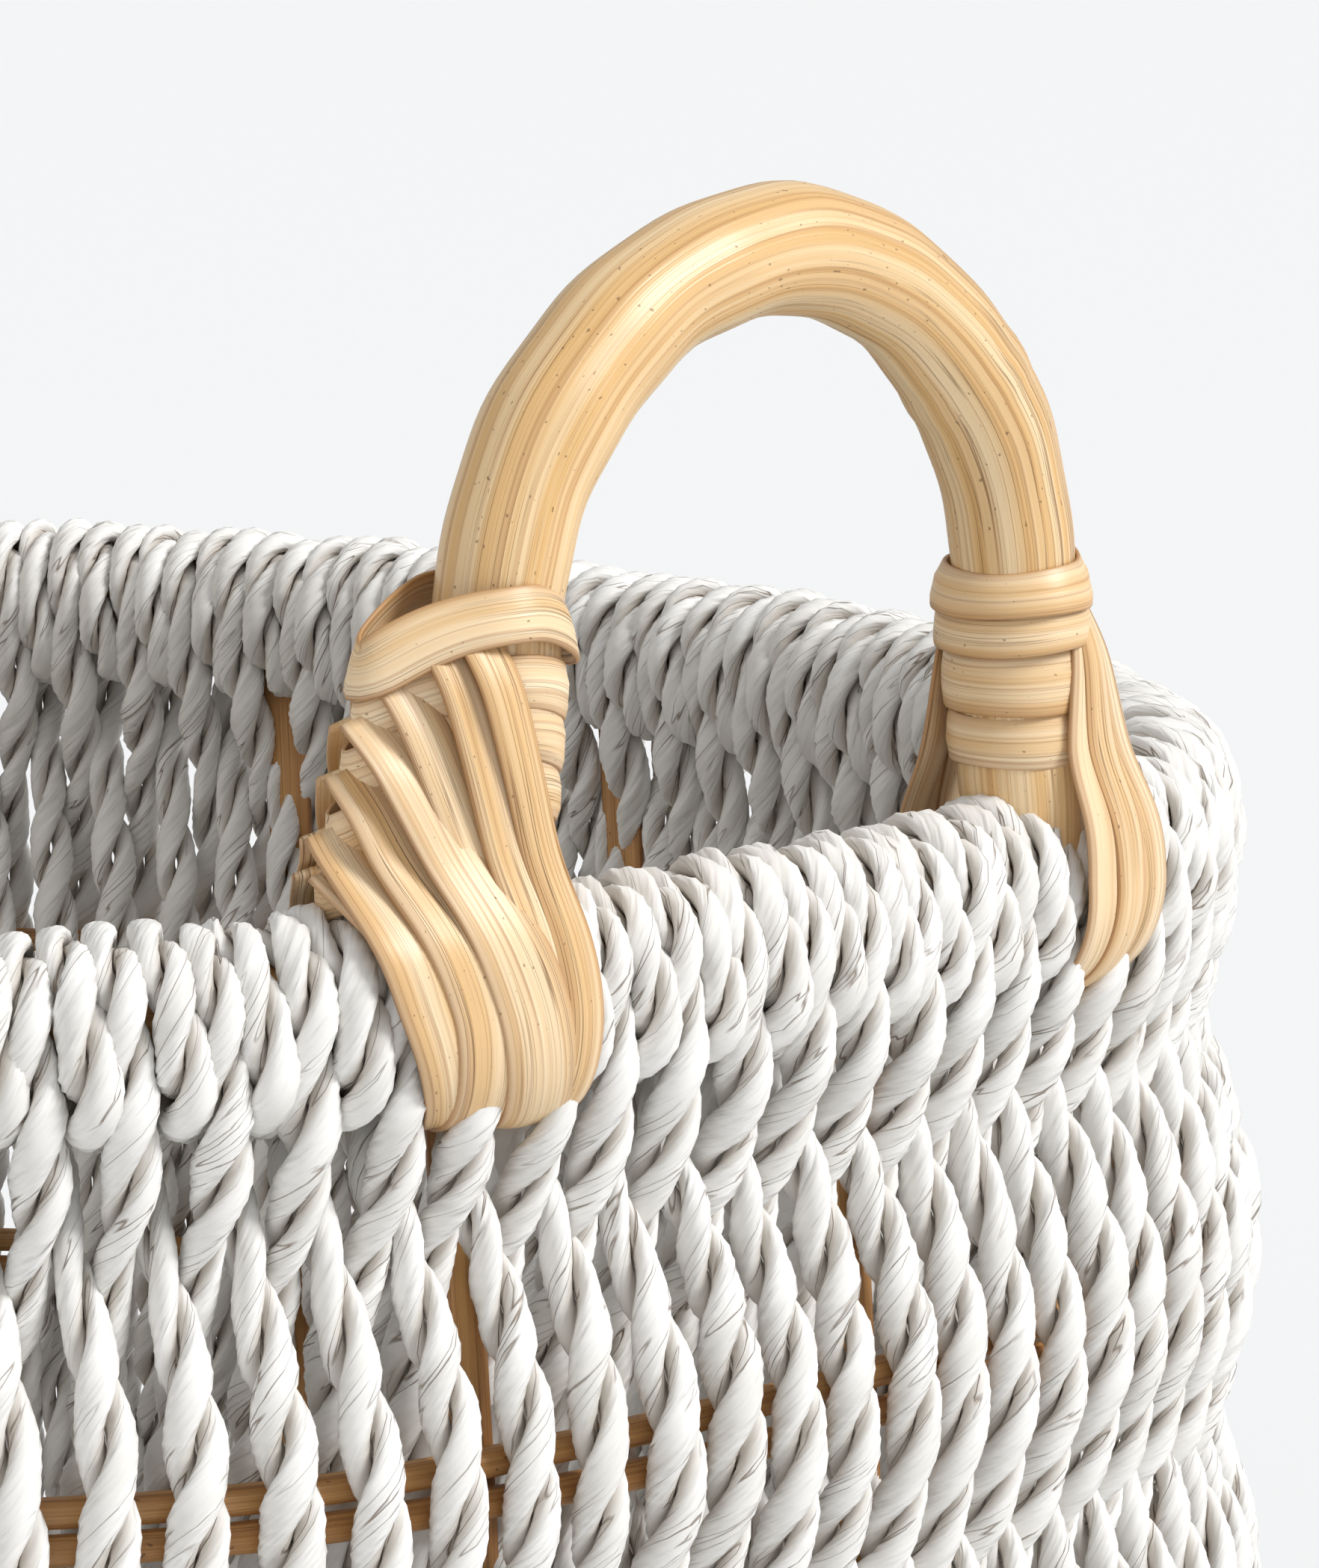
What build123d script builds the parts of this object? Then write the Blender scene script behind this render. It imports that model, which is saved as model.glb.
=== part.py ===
"""Woven laundry basket: rattan hoops, rods and stakes, rope walls, and two bent cane handles.

Millimetres, +Z up. The origin is under the middle of the basket, on the surface that it stands on.
The handles stand on the walls at +X and -X. The front is at -Y.
"""

import os
from collections import namedtuple
from math import asin, atan2, cos, degrees, hypot, radians, sin, sqrt

from build123d import *

os.makedirs("parts", exist_ok=True)

# --- Plan: a rounded square, drawn along the centre line of the rim hoop ---
half_x = 216.0  # middle of the basket to the hoop's centre line, towards a handle
half_y = 202.0  # the same, towards the front or back
side_radius = 376.0  # the gentle curve of each wall
corner_radius = 138.0  # the tighter curve of each corner

# --- Heights ---
rim_top = 309.0  # top of the rope-wrapped rim
first_ring_drop = 96.0  # rim top to the middle of the top pair of rods
ring_count = 3  # pairs of rods, as far apart as the lowest is from the base hoop

# --- Hoops and the rope wound over them ---
rim_hoop_d = 14.0
base_hoop_d = 14.0
wound_rope = 7.8  # the rope, pressed flat, on a hoop
hoop_gap = 0.2  # between a hoop and the rope on it
base_flat = 0.4  # how far the basket's weight presses the base rope flat on the floor

# --- Rope walls: an outer and an inner layer with the rods and stakes between them ---
rope_d = 9.0
rope_give = 0.3  # a layer is this much thinner than a loose rope
waist = 3.4  # how much a layer thins where the ropes cross, halfway between two rings
layer_gap = 0.3  # between a wall's ropes and those on a hoop

# --- Rods and stakes ---
rod_d = 5.2
rod_gap = 1.1  # between the two rods of a ring
stake_width = 9.5
stake_thickness = 2.3
stake_count = 16
stake_shift = 16.0  # the first stake, along the outline from the middle of the +X wall
core_gap = 0.2  # between rods and stakes, and from each to the ropes

# --- Base ---
base_rod_d = 7.0
base_rod_count = 9
base_rod_pitch = 38.0
base_rod_gap = 0.2
base_layer = 7.6  # a layer of rope above or below the base rods
base_edge_gap = 0.4  # between those ropes and the ones wound on the base hoop

# --- Handles ---
cane_d = 21.5
handle_half_span = 61.0  # middle of the arch to the middle of a leg
handle_leg_rise = 38.0  # rim top to where the arch starts
saddle_gap = 0.15  # between a leg's notched end and the hoop
leg_pocket_gap = 0.2  # between a leg and the rim's ropes

# --- Cane lashings ---
band_gap = 0.2  # between a binding and the cane, and between bindings
band_thickness = 1.5
top_band_extra = 0.9  # the top binding also covers the ends of the strips
strip_thickness = 1.3
strip_gap = 0.3  # between strips, and from a strip to the rim
strip_wrap = 62.0  # degrees that a strip goes round under the rim
braid_width = 6.0
braid_half_depth = 9.0

# Each handle has a wide lashing, with a braid, on one leg and a narrow one on the other.
# edges: of the bindings, above the rim. strips, first, pitch: the flat strips, with the edge of
# the first one under the rim, from the middle of the leg. slant: how far a strip moves outwards
# for each millimetre that it climbs. top, foot: where the strips turn back, out from the middle
# of the leg, at the top binding and at the rim.
Lashing = namedtuple("Lashing", "edges strips first pitch slant top foot braided")
wide_lashing = Lashing((4.0, 12.5, 21.5, 31.0, 42.0), 5, -4.5, 6.4, 0.32, 26.0, 36.0, True)
narrow_lashing = Lashing((4.5, 14.0, 25.5, 40.0), 3, 1.0, 8.0, -0.1, 19.0, 26.0, False)

core_half = (rod_d + stake_thickness + 3 * core_gap) / 2
rod_offset = core_half - core_gap - rod_d / 2
stake_offset = core_gap + stake_thickness / 2 - core_half
layer_far = core_half + rope_d - rope_give
rim_tube_r = rim_hoop_d / 2 + hoop_gap + wound_rope
base_tube_r = base_hoop_d / 2 + hoop_gap + wound_rope
rim_z = rim_top - rim_tube_r
base_z = base_tube_r - base_flat
ring_pitch = (rim_top - first_ring_drop - base_z) / ring_count
ring_heights = [rim_top - first_ring_drop - i * ring_pitch for i in range(ring_count)]
rod_lift = (rod_d + rod_gap) / 2
leg_turn = degrees(asin(handle_half_span / side_radius))
handle_x = half_x - side_radius + side_radius * cos(radians(leg_turn))
band_inner_r = cane_d / 2 + band_gap
band_outer_r = band_inner_r + band_thickness

Arc = namedtuple("Arc", "name cx cy radius start sweep")


def save(piece, name):
    """Labels a finished piece and writes it as one STEP file."""
    piece.part.label = name
    export_step(piece.part, f"parts/{name}.step")
    solids = piece.part.solids()
    print(name, len(solids), "solids", round(sum(s.volume for s in solids) / 1000, 1), "cm3")


def plan_arcs():
    """The eight tangent arcs of the outline, anticlockwise from the +X wall."""
    reach = side_radius - corner_radius
    side_cx = half_x - side_radius
    side_cy = half_y - side_radius
    chord = hypot(side_cx, side_cy)
    rise = sqrt(reach**2 - chord**2 / 4)
    cx = side_cx / 2 - rise * side_cy / chord
    cy = side_cy / 2 - rise * side_cx / chord
    turn_x = degrees(atan2(cy, cx - side_cx))
    turn_y = degrees(atan2(cy - side_cy, cx))
    side_x = 2 * turn_x
    side_y = 2 * (90 - turn_y)
    corner = turn_y - turn_x
    return [
        Arc("right", side_cx, 0, side_radius, -turn_x, side_x),
        Arc("back_right", cx, cy, corner_radius, turn_x, corner),
        Arc("back", 0, side_cy, side_radius, turn_y, side_y),
        Arc("back_left", -cx, cy, corner_radius, 180 - turn_y, corner),
        Arc("left", -side_cx, 0, side_radius, 180 - turn_x, side_x),
        Arc("front_left", -cx, -cy, corner_radius, 180 + turn_x, corner),
        Arc("front", 0, -side_cy, side_radius, 180 + turn_y, side_y),
        Arc("front_right", cx, -cy, corner_radius, 360 - turn_y, corner),
    ]


arcs = plan_arcs()
outline_length = sum(radians(arc.sweep) * arc.radius for arc in arcs)


def outline_at(distance, offset):
    """Point and outward direction, in degrees, at a distance along the outline."""
    left = (distance + radians(arcs[0].sweep) * arcs[0].radius / 2) % outline_length
    for arc in arcs:
        length = radians(arc.sweep) * arc.radius
        if left <= length:
            break
        left -= length
    angle = arc.start + degrees(left / arc.radius)
    reach = arc.radius + offset
    return arc.cx + reach * cos(radians(angle)), arc.cy + reach * sin(radians(angle)), angle


def half_width_at(y, offset):
    """Half the outline's width along X at a given Y, with the outline moved out by offset."""
    side, corner = arcs[0], arcs[1]
    y = abs(y)
    if y <= corner.cy + (corner.radius + offset) * sin(radians(corner.start)):
        return side.cx + sqrt((side.radius + offset) ** 2 - y**2)
    return corner.cx + sqrt((corner.radius + offset) ** 2 - (y - corner.cy) ** 2)


def arc_plane(arc, angle):
    """An upright plane through an arc's centre: x is the distance from it and y is the height."""
    turn = radians(angle)
    out = (cos(turn), sin(turn), 0)
    return Plane(origin=(arc.cx, arc.cy, 0), x_dir=out, z_dir=(sin(turn), -cos(turn), 0))


def arc_axis(arc):
    """The upright axis that an arc of the outline turns about."""
    return Axis(origin=(arc.cx, arc.cy, 0), direction=(0, 0, 1))


def make_hoop(name, z, diameter, offset):
    """A round rattan rod bent along the whole outline."""
    with BuildPart() as hoop:
        for arc in arcs:
            with BuildSketch(arc_plane(arc, arc.start)):
                with Locations((arc.radius + offset, z)):
                    Circle(diameter / 2)
            revolve(axis=arc_axis(arc), revolution_arc=arc.sweep)
    save(hoop, name)


def make_rim_ropes(arc):
    """The rope wound over one arc of the rim hoop, open below and round the handles' legs."""
    legs = [(sx * handle_x, sy * handle_half_span, rim_top) for sx in (1, -1) for sy in (1, -1)]
    with BuildPart() as ropes:
        with BuildSketch(arc_plane(arc, arc.start)):
            with Locations((arc.radius, rim_z)):
                Circle(rim_tube_r)
                Circle(rim_tube_r - wound_rope, mode=Mode.SUBTRACT)
            with Locations((arc.radius, rim_z - rim_tube_r / 2)):
                Rectangle(2 * core_half, rim_tube_r, mode=Mode.SUBTRACT)
        revolve(axis=arc_axis(arc), revolution_arc=arc.sweep)
        with Locations(*legs):
            Cylinder(cane_d / 2 + leg_pocket_gap, 2 * rim_tube_r, mode=Mode.SUBTRACT)
    save(ropes, f"rim_ropes_{arc.name}")


def base_rod_places():
    """Y and half length of each base rod, which stops just short of the base hoop."""
    places = []
    for i in range(base_rod_count):
        y = (i - (base_rod_count - 1) / 2) * base_rod_pitch
        edge = abs(y) + base_rod_d / 2
        places.append((y, half_width_at(edge, -base_hoop_d / 2 - base_rod_gap)))
    return places


def make_base_edge_ropes(name, pair):
    """The rope wound over two arcs of the base hoop, flat below and open where the rods enter."""
    with BuildPart() as ropes:
        for arc in pair:
            with BuildSketch(arc_plane(arc, arc.start)):
                with Locations((arc.radius, base_z)):
                    Circle(base_tube_r)
                    Circle(base_tube_r - wound_rope, mode=Mode.SUBTRACT)
                with Locations((arc.radius, base_z + base_tube_r / 2)):
                    Rectangle(2 * core_half, base_tube_r, mode=Mode.SUBTRACT)
            revolve(axis=arc_axis(arc), revolution_arc=arc.sweep)
        split(bisect_by=Plane.XY, keep=Keep.TOP)
        for y, half in base_rod_places():
            with Locations((0, y, base_z)):
                Cylinder(
                    base_rod_d / 2 + base_rod_gap,
                    2 * (half + base_rod_gap),
                    rotation=(0, 90, 0),
                    mode=Mode.SUBTRACT,
                )
    save(ropes, name)


def make_base_rods():
    """The rattan rods that carry the floor of the basket, side by side between the hoop's walls."""
    with BuildPart() as rods:
        for y, half in base_rod_places():
            with Locations((0, y, base_z)):
                Cylinder(base_rod_d / 2, 2 * half, rotation=(0, 90, 0))
    save(rods, "base_rods")


def make_base_ropes():
    """The ropes woven over and under the base rods, as a layer above and a layer below."""
    inset = -(base_tube_r + base_edge_gap)
    lift = base_rod_d / 2 + base_rod_gap
    with BuildPart() as ropes:
        for z in (base_z + lift, base_z - lift - base_layer):
            with BuildSketch(Plane.XY.offset(z)):
                with BuildLine():
                    for arc in arcs:
                        CenterArc((arc.cx, arc.cy), arc.radius + inset, arc.start, arc.sweep)
                make_face()
            extrude(amount=base_layer)
    save(ropes, "base_ropes")


def make_wall_ropes(arc):
    """Both rope layers along one arc of the wall, swollen at each ring and thin at each crossing."""
    half_step = ring_pitch / 2
    low = base_z + base_tube_r + layer_gap
    high = rim_z - rim_tube_r - layer_gap
    with BuildPart() as ropes:
        for side in (1, -1):
            near = arc.radius + side * core_half
            full = arc.radius + side * layer_far
            thin = full - side * waist
            rows = [(thin, ring_heights[0] + half_step)]
            for ring in ring_heights:
                rows += [(full, ring), (thin, ring - half_step)]
            with BuildSketch(arc_plane(arc, arc.start)):
                with BuildLine():
                    Spline((full, high), *rows, (full, low))
                    Polyline((full, low), (near, low), (near, high), (full, high))
                make_face()
            revolve(axis=arc_axis(arc), revolution_arc=arc.sweep)
    save(ropes, f"wall_ropes_{arc.name}")


def make_stakes(name, first):
    """A quarter of the flat upright stakes, which stand between the two hoops."""
    foot = base_z + base_hoop_d / 2
    length = rim_z - rim_hoop_d / 2 - foot
    quarter = stake_count // 4
    with BuildPart() as stakes:
        for i in range(first * quarter, (first + 1) * quarter):
            x, y, angle = outline_at(stake_shift + i * outline_length / stake_count, stake_offset)
            with Locations(Location((x, y, foot + length / 2), (0, 0, angle))):
                Box(stake_thickness, stake_width, length)
    save(stakes, name)


def make_handle(name, sx):
    """A bent cane arch whose legs stand, notched, on the rim hoop."""
    arc = arcs[0] if sx > 0 else arcs[4]
    foot = rim_z + saddle_gap
    spring = rim_top + handle_leg_rise
    with BuildPart() as handle:
        with BuildLine(Plane.YZ.offset(sx * handle_x)):
            Line((-handle_half_span, foot), (-handle_half_span, spring))
            CenterArc((0, spring), handle_half_span, 180, -180)
            Line((handle_half_span, spring), (handle_half_span, foot))
        with BuildSketch(Plane.XY.offset(foot)):
            with Locations((sx * handle_x, -handle_half_span)):
                Circle(cane_d / 2)
        sweep()
        with BuildSketch(arc_plane(arc, arc.start)):
            with Locations((arc.radius, rim_z)):
                Circle(rim_hoop_d / 2 + saddle_gap)
        revolve(axis=arc_axis(arc), revolution_arc=arc.sweep, mode=Mode.SUBTRACT)
    save(handle, name)


def make_bindings(name, sx, sy, lashing):
    """The turns of flat cane round one leg, with the widest at the top."""
    edges = lashing.edges
    with BuildPart() as bands:
        for low, high in zip(edges, edges[1:]):
            outer = band_outer_r + (top_band_extra if high == edges[-1] else 0)
            with BuildSketch(Plane.XY.offset(rim_top + low)):
                with Locations((sx * handle_x, sy * handle_half_span)):
                    Circle(outer)
                    Circle(band_inner_r, mode=Mode.SUBTRACT)
            extrude(amount=high - low - band_gap)
    save(bands, name)


def braid_line(lashing, height):
    """How far out from the middle of the leg the strips turn back, at a height above the rim."""
    return lashing.foot - (lashing.foot - lashing.top) * height / lashing.edges[-2]


def make_strips(name, sx, sy, lashing, side):
    """Flat cane strips from under the top binding, over one face of the rim and round below it."""
    arc = arcs[0] if sx > 0 else arcs[4]
    top = rim_top + lashing.edges[-2] - band_gap
    low = rim_z - rim_tube_r - 2 * strip_thickness
    start = band_outer_r + strip_gap
    inner = rim_tube_r + strip_gap
    outer = inner + strip_thickness
    turn = radians(strip_wrap)
    leg_y = sy * handle_half_span
    span = degrees(2 * lashing.foot / side_radius)
    middle = arc.start + arc.sweep / 2 + sx * sy * leg_turn
    with BuildPart() as strips:
        with BuildSketch(arc_plane(arc, middle - span)):
            with BuildLine():
                Line((arc.radius + side * start, top), (arc.radius + side * inner, rim_z))
                RadiusArc(
                    (arc.radius + side * inner, rim_z),
                    (arc.radius + side * inner * cos(turn), rim_z - inner * sin(turn)),
                    side * inner,
                )
                Line(
                    (arc.radius + side * inner * cos(turn), rim_z - inner * sin(turn)),
                    (arc.radius + side * outer * cos(turn), rim_z - outer * sin(turn)),
                )
                RadiusArc(
                    (arc.radius + side * outer * cos(turn), rim_z - outer * sin(turn)),
                    (arc.radius + side * outer, rim_z),
                    -side * outer,
                )
                Polyline(
                    (arc.radius + side * outer, rim_z),
                    (arc.radius + side * (start + strip_thickness), top),
                    (arc.radius + side * start, top),
                )
            make_face()
        revolve(axis=arc_axis(arc), revolution_arc=2 * span)
        with BuildSketch(Plane.YZ) as mask:
            for i in range(lashing.strips):
                near = lashing.first + i * lashing.pitch
                far = near + lashing.pitch - strip_gap
                climb = lashing.slant * (top - low)
                with BuildLine():
                    Polyline(
                        (leg_y + sy * near, low),
                        (leg_y + sy * far, low),
                        (leg_y + sy * (far + climb), top),
                        (leg_y + sy * (near + climb), top),
                        close=True,
                    )
                make_face()
            with BuildLine():
                Polyline(
                    (leg_y - sy * handle_half_span, low),
                    (leg_y + sy * lashing.foot, low),
                    (leg_y + sy * lashing.foot, rim_top),
                    (leg_y + sy * braid_line(lashing, top - rim_top), top),
                    (leg_y - sy * handle_half_span, top),
                    close=True,
                )
            make_face(mode=Mode.INTERSECT)
        extrude(amount=2 * half_x, both=True, mode=Mode.INTERSECT)
    save(strips, name)


def make_braid(name, sx, sy, lashing):
    """The herringbone ridge where the strips turn back, leaning out from the leg to the rim."""
    arc = arcs[0] if sx > 0 else arcs[4]
    low = strip_gap
    high = lashing.edges[-2] - band_gap
    far_low, far_high = braid_line(lashing, low), braid_line(lashing, high)
    leg_y = sy * handle_half_span
    span = degrees(2 * lashing.foot / side_radius)
    middle = arc.start + arc.sweep / 2 + sx * sy * leg_turn
    with BuildPart() as braid:
        with BuildSketch(arc_plane(arc, middle - span)):
            with Locations((arc.radius, rim_top + (low + high) / 2)):
                Rectangle(2 * braid_half_depth, high - low)
        revolve(axis=arc_axis(arc), revolution_arc=2 * span)
        with BuildSketch(Plane.YZ):
            with BuildLine():
                Polyline(
                    (leg_y + sy * (far_low - braid_width), rim_top + low),
                    (leg_y + sy * far_low, rim_top + low),
                    (leg_y + sy * far_high, rim_top + high),
                    (leg_y + sy * (far_high - braid_width), rim_top + high),
                    close=True,
                )
            make_face()
        extrude(amount=2 * half_x, both=True, mode=Mode.INTERSECT)
    save(braid, name)


make_hoop("rim_hoop", rim_z, rim_hoop_d, 0)
make_hoop("base_hoop", base_z, base_hoop_d, 0)
for number, height in enumerate(ring_heights, 1):
    make_hoop(f"ring_{number}_upper_rod", height + rod_lift, rod_d, rod_offset)
    make_hoop(f"ring_{number}_lower_rod", height - rod_lift, rod_d, rod_offset)

for arc in arcs:
    make_rim_ropes(arc)
    make_wall_ropes(arc)

for number, wall in enumerate(("right", "back", "left", "front")):
    make_base_edge_ropes(f"base_edge_ropes_{wall}", arcs[2 * number : 2 * number + 2])
    make_stakes(f"stakes_{wall}", number)
make_base_rods()
make_base_ropes()

for hand, sx in (("right", 1), ("left", -1)):
    make_handle(f"handle_{hand}", sx)
    for end, sy in (("front", -1), ("back", 1)):
        lashing = wide_lashing if sx * sy < 0 else narrow_lashing
        leg = f"{hand}_{end}"
        make_bindings(f"bindings_{leg}", sx, sy, lashing)
        make_strips(f"outer_strips_{leg}", sx, sy, lashing, 1)
        make_strips(f"inner_strips_{leg}", sx, sy, lashing, -1)
        if lashing.braided:
            make_braid(f"braid_{leg}", sx, sy, lashing)
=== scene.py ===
# %% [markdown]
# # A woven laundry basket
# The basket is a frame of rattan with ropes of twisted paper woven over it, and two handles of bent
# cane that are lashed on with flat strips of cane. The CAD model already holds every place and size,
# so each step below reads them from it and adds what a maker would see: the lay of the rope, the
# grain of the cane and the crossings of the weave. All lengths are in millimetres, and become metres
# only when a mesh is made.

# %% Load the frame
import math

import bpy
import numpy as np
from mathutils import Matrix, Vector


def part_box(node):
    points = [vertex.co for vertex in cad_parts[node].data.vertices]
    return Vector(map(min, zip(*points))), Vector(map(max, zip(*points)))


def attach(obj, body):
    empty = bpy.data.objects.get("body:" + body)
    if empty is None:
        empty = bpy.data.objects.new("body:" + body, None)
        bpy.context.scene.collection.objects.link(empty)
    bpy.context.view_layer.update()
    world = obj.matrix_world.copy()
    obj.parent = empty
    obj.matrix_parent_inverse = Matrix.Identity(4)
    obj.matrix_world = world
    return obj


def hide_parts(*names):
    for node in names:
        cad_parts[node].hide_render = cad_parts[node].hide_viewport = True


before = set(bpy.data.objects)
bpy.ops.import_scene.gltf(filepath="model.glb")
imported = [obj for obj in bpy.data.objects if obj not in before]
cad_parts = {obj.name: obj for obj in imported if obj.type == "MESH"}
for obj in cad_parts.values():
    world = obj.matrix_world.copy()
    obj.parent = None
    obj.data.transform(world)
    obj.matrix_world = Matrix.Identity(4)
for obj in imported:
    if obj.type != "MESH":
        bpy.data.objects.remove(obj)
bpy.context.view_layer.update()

MM = 0.001
TURN = 2 * math.pi

# %% Places and sizes from the CAD model


def cad_box(node):
    """Lowest and highest corner of a CAD node."""
    low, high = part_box(node)
    return np.array(low) / MM, np.array(high) / MM


def middle_z(node):
    """Height of a node's middle."""
    low, high = cad_box(node)
    return (low[2] + high[2]) / 2


hoop_low, hoop_high = cad_box("rim_hoop")
hoop_r = (hoop_high[2] - hoop_low[2]) / 2
half_x = hoop_high[0] - hoop_r
half_y = hoop_high[1] - hoop_r
rim_z = middle_z("rim_hoop")
base_z = middle_z("base_hoop")
rim_top = cad_box("rim_ropes_right")[1][2]
ring_names = ["ring_1", "ring_2", "ring_3"]
ring_z = [(middle_z(n + "_upper_rod") + middle_z(n + "_lower_rod")) / 2 for n in ring_names]
print("hoop centre line", half_x, half_y, "heights", rim_z, ring_z, base_z)

# %% [markdown]
# ## The outline
# Seen from above, the basket is a rounded square: four gentle arcs for the walls and four tighter
# ones for the corners, each tangent to the next. Everything on the walls is built on a flat strip
# first (distance along the wall, height, distance outwards) and then bent round this outline. That
# keeps the weave simple, because on the flat strip every rope has the same shape. The same step lets
# the walls swell a little between the rim and the base, as woven walls do.

# %% The rounded square
SIDE_RADIUS = 376.0
CORNER_RADIUS = 138.0
BELLY = 7.5  # how far the walls swell, halfway up


def plan_arcs():
    """Centres, radii, start angles and sweeps of the outline's arcs, anticlockwise from +X."""
    reach = SIDE_RADIUS - CORNER_RADIUS
    side_cx, side_cy = half_x - SIDE_RADIUS, half_y - SIDE_RADIUS
    chord = math.hypot(side_cx, side_cy)
    rise = math.sqrt(reach**2 - chord**2 / 4)
    cx = side_cx / 2 - rise * side_cy / chord
    cy = side_cy / 2 - rise * side_cx / chord
    turn_x = math.atan2(cy, cx - side_cx)
    turn_y = math.atan2(cy - side_cy, cx)
    centres = [(side_cx, 0), (cx, cy), (0, side_cy), (-cx, cy)]
    centres += [(-x, -y) for x, y in centres]
    starts = [-turn_x, turn_x, turn_y, math.pi - turn_y]
    starts += [start + math.pi for start in starts]
    sweeps = [2 * turn_x, turn_y - turn_x, math.pi - 2 * turn_y, turn_y - turn_x] * 2
    return np.array(centres), np.array([SIDE_RADIUS, CORNER_RADIUS] * 4), np.array(starts), np.array(sweeps)


CENTRES, RADII, STARTS, SWEEPS = plan_arcs()
LENGTHS = RADII * SWEEPS
ENDS = np.cumsum(LENGTHS)
OUTLINE = ENDS[-1]
ARC_NAMES = ["right", "back_right", "back", "back_left", "left", "front_left", "front", "front_right"]
print("outline", round(OUTLINE, 1), "mm round")


def bend(flat):
    """Bends points (along, height, outwards) of the flat strip round the outline."""
    along = np.mod(flat[..., 0] + LENGTHS[0] / 2, OUTLINE)
    i = np.clip(np.searchsorted(ENDS, along, side="right"), 0, len(ENDS) - 1)
    angle = STARTS[i] + (along - ENDS[i] + LENGTHS[i]) / RADII[i]
    rise = np.clip((flat[..., 1] - base_z) / (rim_z - base_z), 0, 1)
    reach = RADII[i] + flat[..., 2] + BELLY * np.sin(math.pi * rise)
    x = CENTRES[i, 0] + reach * np.cos(angle)
    y = CENTRES[i, 1] + reach * np.sin(angle)
    return np.stack([x, y, flat[..., 1]], axis=-1)


# %% [markdown]
# ## Meshes from rings of points
# Ropes, rods, handles and strips are all the same kind of shape: a cross-section carried along a
# path. The mesh is a grid of points, ring after ring, so one helper turns a grid into faces. Building
# the grid with numpy instead of sweeping curves lets every ring differ a little, as natural fibres
# do, and lets each point carry its place along and round the fibre for the materials.

# %% A mesh from a grid of rings


def ring_faces(rings, around, closed, first=0):
    """Faces between successive rings of points, with end caps when the grid isn't a loop."""
    index = first + np.arange(rings * around).reshape(rings, around)
    ahead = np.roll(index, -1, axis=0)
    faces = np.stack([index, np.roll(index, -1, axis=1), np.roll(ahead, -1, axis=1), ahead], axis=-1)
    if closed:
        return faces.reshape(-1, 4)
    cap = np.array([(i, around - 1 - i, around - 2 - i, i + 1) for i in range(around // 2 - 1)])
    last = first + (rings - 1) * around
    return np.concatenate([faces[:-1].reshape(-1, 4), first + cap, last + cap[:, ::-1]])


def make_mesh(name, grids, closed, finish, replaced, flip=False):
    """One object from several grids. A grid is (points, marks): rings x around x 3 points, and
    for each point its place (round, round, along) in the fibre and how near it is to where two plies meet
    or to a strip's edge, which sets how much painted shade darkens it."""
    points = np.concatenate([grid.reshape(-1, 3) for grid, _ in grids]) * MM
    marks = np.concatenate([mark.reshape(-1, 4) for _, mark in grids]).astype(np.float32)
    faces, first = [], 0
    for grid, _ in grids:
        faces.append(ring_faces(grid.shape[0], grid.shape[1], closed, first))
        first += grid.shape[0] * grid.shape[1]
    faces = np.concatenate(faces)
    if flip:
        faces = faces[:, ::-1]
    mesh = bpy.data.meshes.new(name)
    mesh.vertices.add(len(points))
    mesh.vertices.foreach_set("co", points.astype(np.float32).ravel())
    mesh.loops.add(faces.size)
    mesh.loops.foreach_set("vertex_index", faces.astype(np.int32).ravel())
    mesh.polygons.add(len(faces))
    mesh.polygons.foreach_set("loop_start", np.arange(0, faces.size, 4, dtype=np.int32))
    mesh.update(calc_edges=True)
    mesh.shade_smooth()
    fibre = mesh.attributes.new("fibre", "FLOAT_VECTOR", "POINT")
    fibre.data.foreach_set("vector", np.ascontiguousarray(marks[:, :3]).ravel())
    shade_weight = mesh.attributes.new("shade_weight", "FLOAT", "POINT")
    shade_weight.data.foreach_set("value", np.ascontiguousarray(marks[:, 3]))
    mesh.materials.append(finish)
    piece = bpy.data.objects.new(name, mesh)
    bpy.context.scene.collection.objects.link(piece)
    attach(piece, "root")
    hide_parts(*replaced)
    print(name, len(points), "points")
    return piece


# %% Paths


def spaced(path, step, closed):
    """The same path with points an even step apart."""
    if closed:
        path = np.concatenate([path, path[:1]])
    gaps = np.linalg.norm(np.diff(path, axis=0), axis=1)
    along = np.concatenate([[0], np.cumsum(gaps)])
    count = max(4, round(along[-1] / step))
    wanted = np.linspace(0, along[-1], count + 1)
    if closed:
        wanted = wanted[:-1]
    even = np.stack([np.interp(wanted, along, path[:, k]) for k in range(path.shape[1])], axis=1)
    return even, wanted, along[-1]


def eased(path, passes, closed):
    """Rounds a path's sharp turns."""
    for _ in range(passes):
        if closed:
            path = (np.roll(path, 1, axis=0) + 2 * path + np.roll(path, -1, axis=0)) / 4
        else:
            path = np.concatenate([path[:1], (path[:-2] + 2 * path[1:-1] + path[2:]) / 4, path[-1:]])
    return path


def unit(vectors):
    """Vectors made one long."""
    return vectors / np.linalg.norm(vectors, axis=-1, keepdims=True)


def heading(path, closed):
    """The direction of a path at each of its points."""
    if closed:
        return unit(np.roll(path, -1, axis=0) - np.roll(path, 1, axis=0))
    return unit(np.gradient(path, axis=0))


# %% [markdown]
# ## Finishes
# Paper rope is matt and white. Its creases run along each ply. Thin grey-brown lines of painted shade
# lie in the folds, most of all where the two plies meet, and painted shade darkens the paper where the
# plies meet. Cane and rattan have long fibres: pale bands, dark hairlines and small pits, and the flat
# strips have painted shade along their edges. A picture could give both, but noise that is stretched
# along the fibre has no repeats and follows every bend, because each point knows its place in the fibre.

# %% A small kit for node materials


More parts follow.
